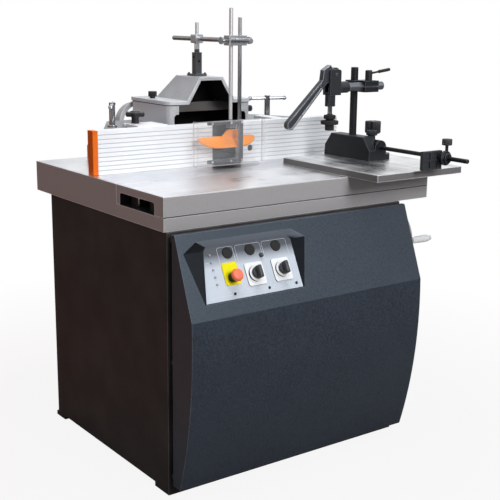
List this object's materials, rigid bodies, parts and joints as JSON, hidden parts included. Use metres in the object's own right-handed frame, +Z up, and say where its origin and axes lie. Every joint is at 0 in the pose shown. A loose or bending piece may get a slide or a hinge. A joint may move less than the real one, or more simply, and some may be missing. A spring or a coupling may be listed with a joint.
{
  "type": "spindle moulder",
  "caption": "Floor-standing spindle moulder with a sliding table, tenoning clamp, hooded split fence, clear guard and a slanted control panel.",
  "frame": {"origin": "on the floor, in the middle of the four floor anchor holes, which is the middle of the cabinet's footprint", "axes": "+Z up; +X to the operator's right along the front of the table; +Y from the front to the back"},
  "size_m": [1.0549, 1.139, 1.418],
  "materials": {
    "cabinet_paint": "near-black powder coat",
    "cover_paint": "dark slate textured powder coat",
    "gland_plastic": "black",
    "table_iron": "ground top, grey painted sides",
    "ring_steel": "turned",
    "fastener_steel": "zinc plated",
    "ground_steel": "ground",
    "inner_iron": "raw casting",
    "motor_paint": "grey-blue enamel",
    "belt_rubber": "ribbed belt",
    "chain_steel": "oiled chain",
    "wheel_iron": "polished rim",
    "grip_plastic": "off-white",
    "panel_print": "printed plate",
    "trim_plastic": "black",
    "lamp_plastic": "clear white",
    "stop_yellow": "yellow",
    "stop_red": "red",
    "switch_white": "white",
    "switch_black": "black",
    "fence_alloy": "anodised extrusion",
    "orange_plastic": "orange",
    "hood_paint": "mid-grey hammertone",
    "knob_plastic": "black",
    "post_paint": "satin black",
    "rod_chrome": "bright",
    "visor_clear": "clear polycarbonate",
    "tenon_paint": "milled plate",
    "pad_rubber": "pad",
    "flag_plastic": "black, four panes"
  },
  "bodies": {
    "frame": {"cabinet_shell": "cabinet_paint", "cable_gland": "gland_plastic", "door_hinges": "cabinet_paint", "front_cover": "cover_paint", "control_plate": "panel_print", "control_trim": "trim_plastic", "indicator_lamps": "lamp_plastic", "stop_plate": "stop_yellow", "switch_plates": "switch_white", "table_casting": "table_iron", "table_fasteners": "fastener_steel", "table_rings": "ring_steel", "slide_rails": "ground_steel", "spindle_housing": "inner_iron", "shaft_supports": "inner_iron", "lift_chain": "chain_steel"},
    "door": {"rear_door": "cabinet_paint"},
    "sliding_table": {"sliding_table": "table_iron", "tenon_plate": "tenon_paint", "tenon_fence": "post_paint", "rod_knobs": "knob_plastic", "tenon_bars": "post_paint"},
    "clamp_slider": {"cross_clamp": "post_paint", "clamp_head": "post_paint"},
    "clamp_lever": {"clamp_lever": "post_paint"},
    "plunger": {"clamp_plunger": "rod_chrome", "clamp_pad": "pad_rubber"},
    "ratchet": {"ratchet_lever": "knob_plastic"},
    "stop_hub": {"stop_hub": "post_paint"},
    "stop_flag": {"stop_flag": "flag_plastic"},
    "lift": {"quill": "ground_steel", "motor_bracket": "inner_iron", "motor": "motor_paint", "drive_belt": "belt_rubber"},
    "spindle": {"spindle": "ground_steel"},
    "motor_rotor": {"motor_rotor": "inner_iron"},
    "lift_screw": {"lift_screw": "ground_steel"},
    "cross_shaft": {"cross_shaft": "ground_steel"},
    "handwheel": {"handwheel": "wheel_iron"},
    "wheel_grip": {"wheel_grip": "grip_plastic"},
    "stop_button": {"stop_button": "stop_red"},
    "left_switch": {"left_switch": "switch_black"},
    "right_switch": {"right_switch": "switch_black"},
    "fence_unit": {"fence_arms": "hood_paint", "hood_body": "hood_paint", "dust_port": "hood_paint", "hood_lid": "hood_paint", "lid_knobs": "knob_plastic", "guard_post": "post_paint"},
    "left_fence": {"left_fence_plate": "fence_alloy", "left_end_cap": "orange_plastic"},
    "right_fence": {"right_fence_plate": "fence_alloy"},
    "star_knob": {"star_knob": "knob_plastic"},
    "left_clamp_handle": {"left_clamp_handle": "rod_chrome"},
    "right_clamp_handle": {"right_clamp_handle": "rod_chrome"},
    "guard_arm": {"guard_arm": "rod_chrome"},
    "visor": {"visor_bracket": "rod_chrome", "clear_visor": "visor_clear"},
    "shoe": {"pressure_shoe": "orange_plastic", "shoe_rod": "rod_chrome"}
  },
  "joints": [
    {"name": "door_hinge", "type": "hinge", "parent": "frame", "child": "door", "pos_m": [0.269, 0.39, 0.4], "axis": [0, 0, -1], "range_deg": [0, 110]},
    {"name": "table_slide", "type": "slide", "parent": "frame", "child": "sliding_table", "axis": [1, 0, 0], "range_m": [-0.28, 0.28]},
    {"name": "clamp_height", "type": "slide", "parent": "sliding_table", "child": "clamp_slider", "axis": [0, 0, 1], "range_m": [-0.09, 0.03]},
    {"name": "clamp_lever_turn", "type": "hinge", "parent": "clamp_slider", "child": "clamp_lever", "pos_m": [0.308, -0.193, 1.209], "axis": [0, 1, 0], "range_deg": [0, 90]},
    {"name": "plunger_slide", "type": "slide", "parent": "clamp_slider", "child": "plunger", "axis": [0, 0, 1], "range_m": [0, 0.02]},
    {"name": "ratchet_turn", "type": "hinge", "parent": "clamp_slider", "child": "ratchet", "pos_m": [0.465, -0.193, 1.2], "axis": [0, 0, 1], "range_deg": [-60, 60]},
    {"name": "stop_slide", "type": "slide", "parent": "sliding_table", "child": "stop_hub", "axis": [0, 1, 0], "range_m": [-0.05, 0.18]},
    {"name": "stop_flip", "type": "hinge", "parent": "stop_hub", "child": "stop_flag", "pos_m": [0.462, -0.51, 0.965], "axis": [0, 1, 0], "range_deg": [0, 150]},
    {"name": "lift_slide", "type": "slide", "parent": "frame", "child": "lift", "axis": [0, 0, 1], "range_m": [0, 0.145]},
    {"name": "spindle_spin", "type": "hinge", "parent": "lift", "child": "spindle", "pos_m": [0.065, 0.097, 0.5], "axis": [0, 0, 1], "continuous": true},
    {"name": "motor_spin", "type": "hinge", "parent": "lift", "child": "motor_rotor", "pos_m": [-0.185, 0.097, 0.3], "axis": [0, 0, 1], "continuous": true},
    {"name": "screw_turn", "type": "hinge", "parent": "frame", "child": "lift_screw", "pos_m": [0.195, 0.097, 0.5], "axis": [0, 0, -1], "range_deg": [0, 10440]},
    {"name": "shaft_turn", "type": "hinge", "parent": "frame", "child": "cross_shaft", "pos_m": [0.3, 0.097, 0.66], "axis": [-1, 0, 0], "range_deg": [0, 10440]},
    {"name": "wheel_turn", "type": "hinge", "parent": "frame", "child": "handwheel", "pos_m": [0.45, -0.283, 0.66], "axis": [-1, 0, 0], "range_deg": [0, 10440]},
    {"name": "grip_turn", "type": "hinge", "parent": "handwheel", "child": "wheel_grip", "pos_m": [0.55, -0.383, 0.66], "axis": [1, 0, 0], "continuous": true},
    {"name": "stop_press", "type": "slide", "parent": "frame", "child": "stop_button", "axis": [0, 0.8788, -0.4773], "range_m": [0, 0.006], "stiffness_N_per_m": 800},
    {"name": "left_switch_turn", "type": "hinge", "parent": "frame", "child": "left_switch", "pos_m": [-0.194, -0.4516, 0.66052], "axis": [0, -0.8788, 0.4773], "range_deg": [-90, 0]},
    {"name": "right_switch_turn", "type": "hinge", "parent": "frame", "child": "right_switch", "pos_m": [-0.097, -0.4516, 0.66052], "axis": [0, -0.8788, 0.4773], "range_deg": [-60, 60]},
    {"name": "fence_set", "type": "slide", "parent": "frame", "child": "fence_unit", "axis": [0, 1, 0], "range_m": [0, 0.015]},
    {"name": "left_fence_set", "type": "slide", "parent": "fence_unit", "child": "left_fence", "axis": [1, 0, 0], "range_m": [-0.005, 0.025]},
    {"name": "right_fence_set", "type": "slide", "parent": "fence_unit", "child": "right_fence", "axis": [1, 0, 0], "range_m": [-0.025, 0.005]},
    {"name": "star_turn", "type": "hinge", "parent": "fence_unit", "child": "star_knob", "pos_m": [-0.223, 0.187, 1.06], "axis": [0, 0, 1], "range_deg": [-180, 180]},
    {"name": "left_handle_turn", "type": "hinge", "parent": "frame", "child": "left_clamp_handle", "pos_m": [-0.287, 0.227, 1.05], "axis": [0, 0, 1], "range_deg": [-180, 180]},
    {"name": "right_handle_turn", "type": "hinge", "parent": "frame", "child": "right_clamp_handle", "pos_m": [0.354, 0.227, 1.05], "axis": [0, 0, 1], "range_deg": [-180, 180]},
    {"name": "guard_set", "type": "slide", "parent": "fence_unit", "child": "guard_arm", "axis": [0, 1, 0], "range_m": [-0.02, 0]},
    {"name": "visor_height", "type": "slide", "parent": "guard_arm", "child": "visor", "axis": [0, 0, 1], "range_m": [0, 0.12]},
    {"name": "shoe_height", "type": "slide", "parent": "guard_arm", "child": "shoe", "axis": [0, 0, 1], "range_m": [-0.055, 0.045]}
  ],
  "couplings": [
    {"joint": "lift_slide", "follows": "wheel_turn", "m_per_rad": 0.00079577},
    {"joint": "screw_turn", "follows": "wheel_turn", "ratio": 1},
    {"joint": "shaft_turn", "follows": "wheel_turn", "ratio": 1},
    {"joint": "motor_spin", "follows": "spindle_spin", "ratio": 0.86667},
    {"joint": "plunger_slide", "follows": "clamp_lever_turn", "m_per_rad": 0.0127}
  ]
}
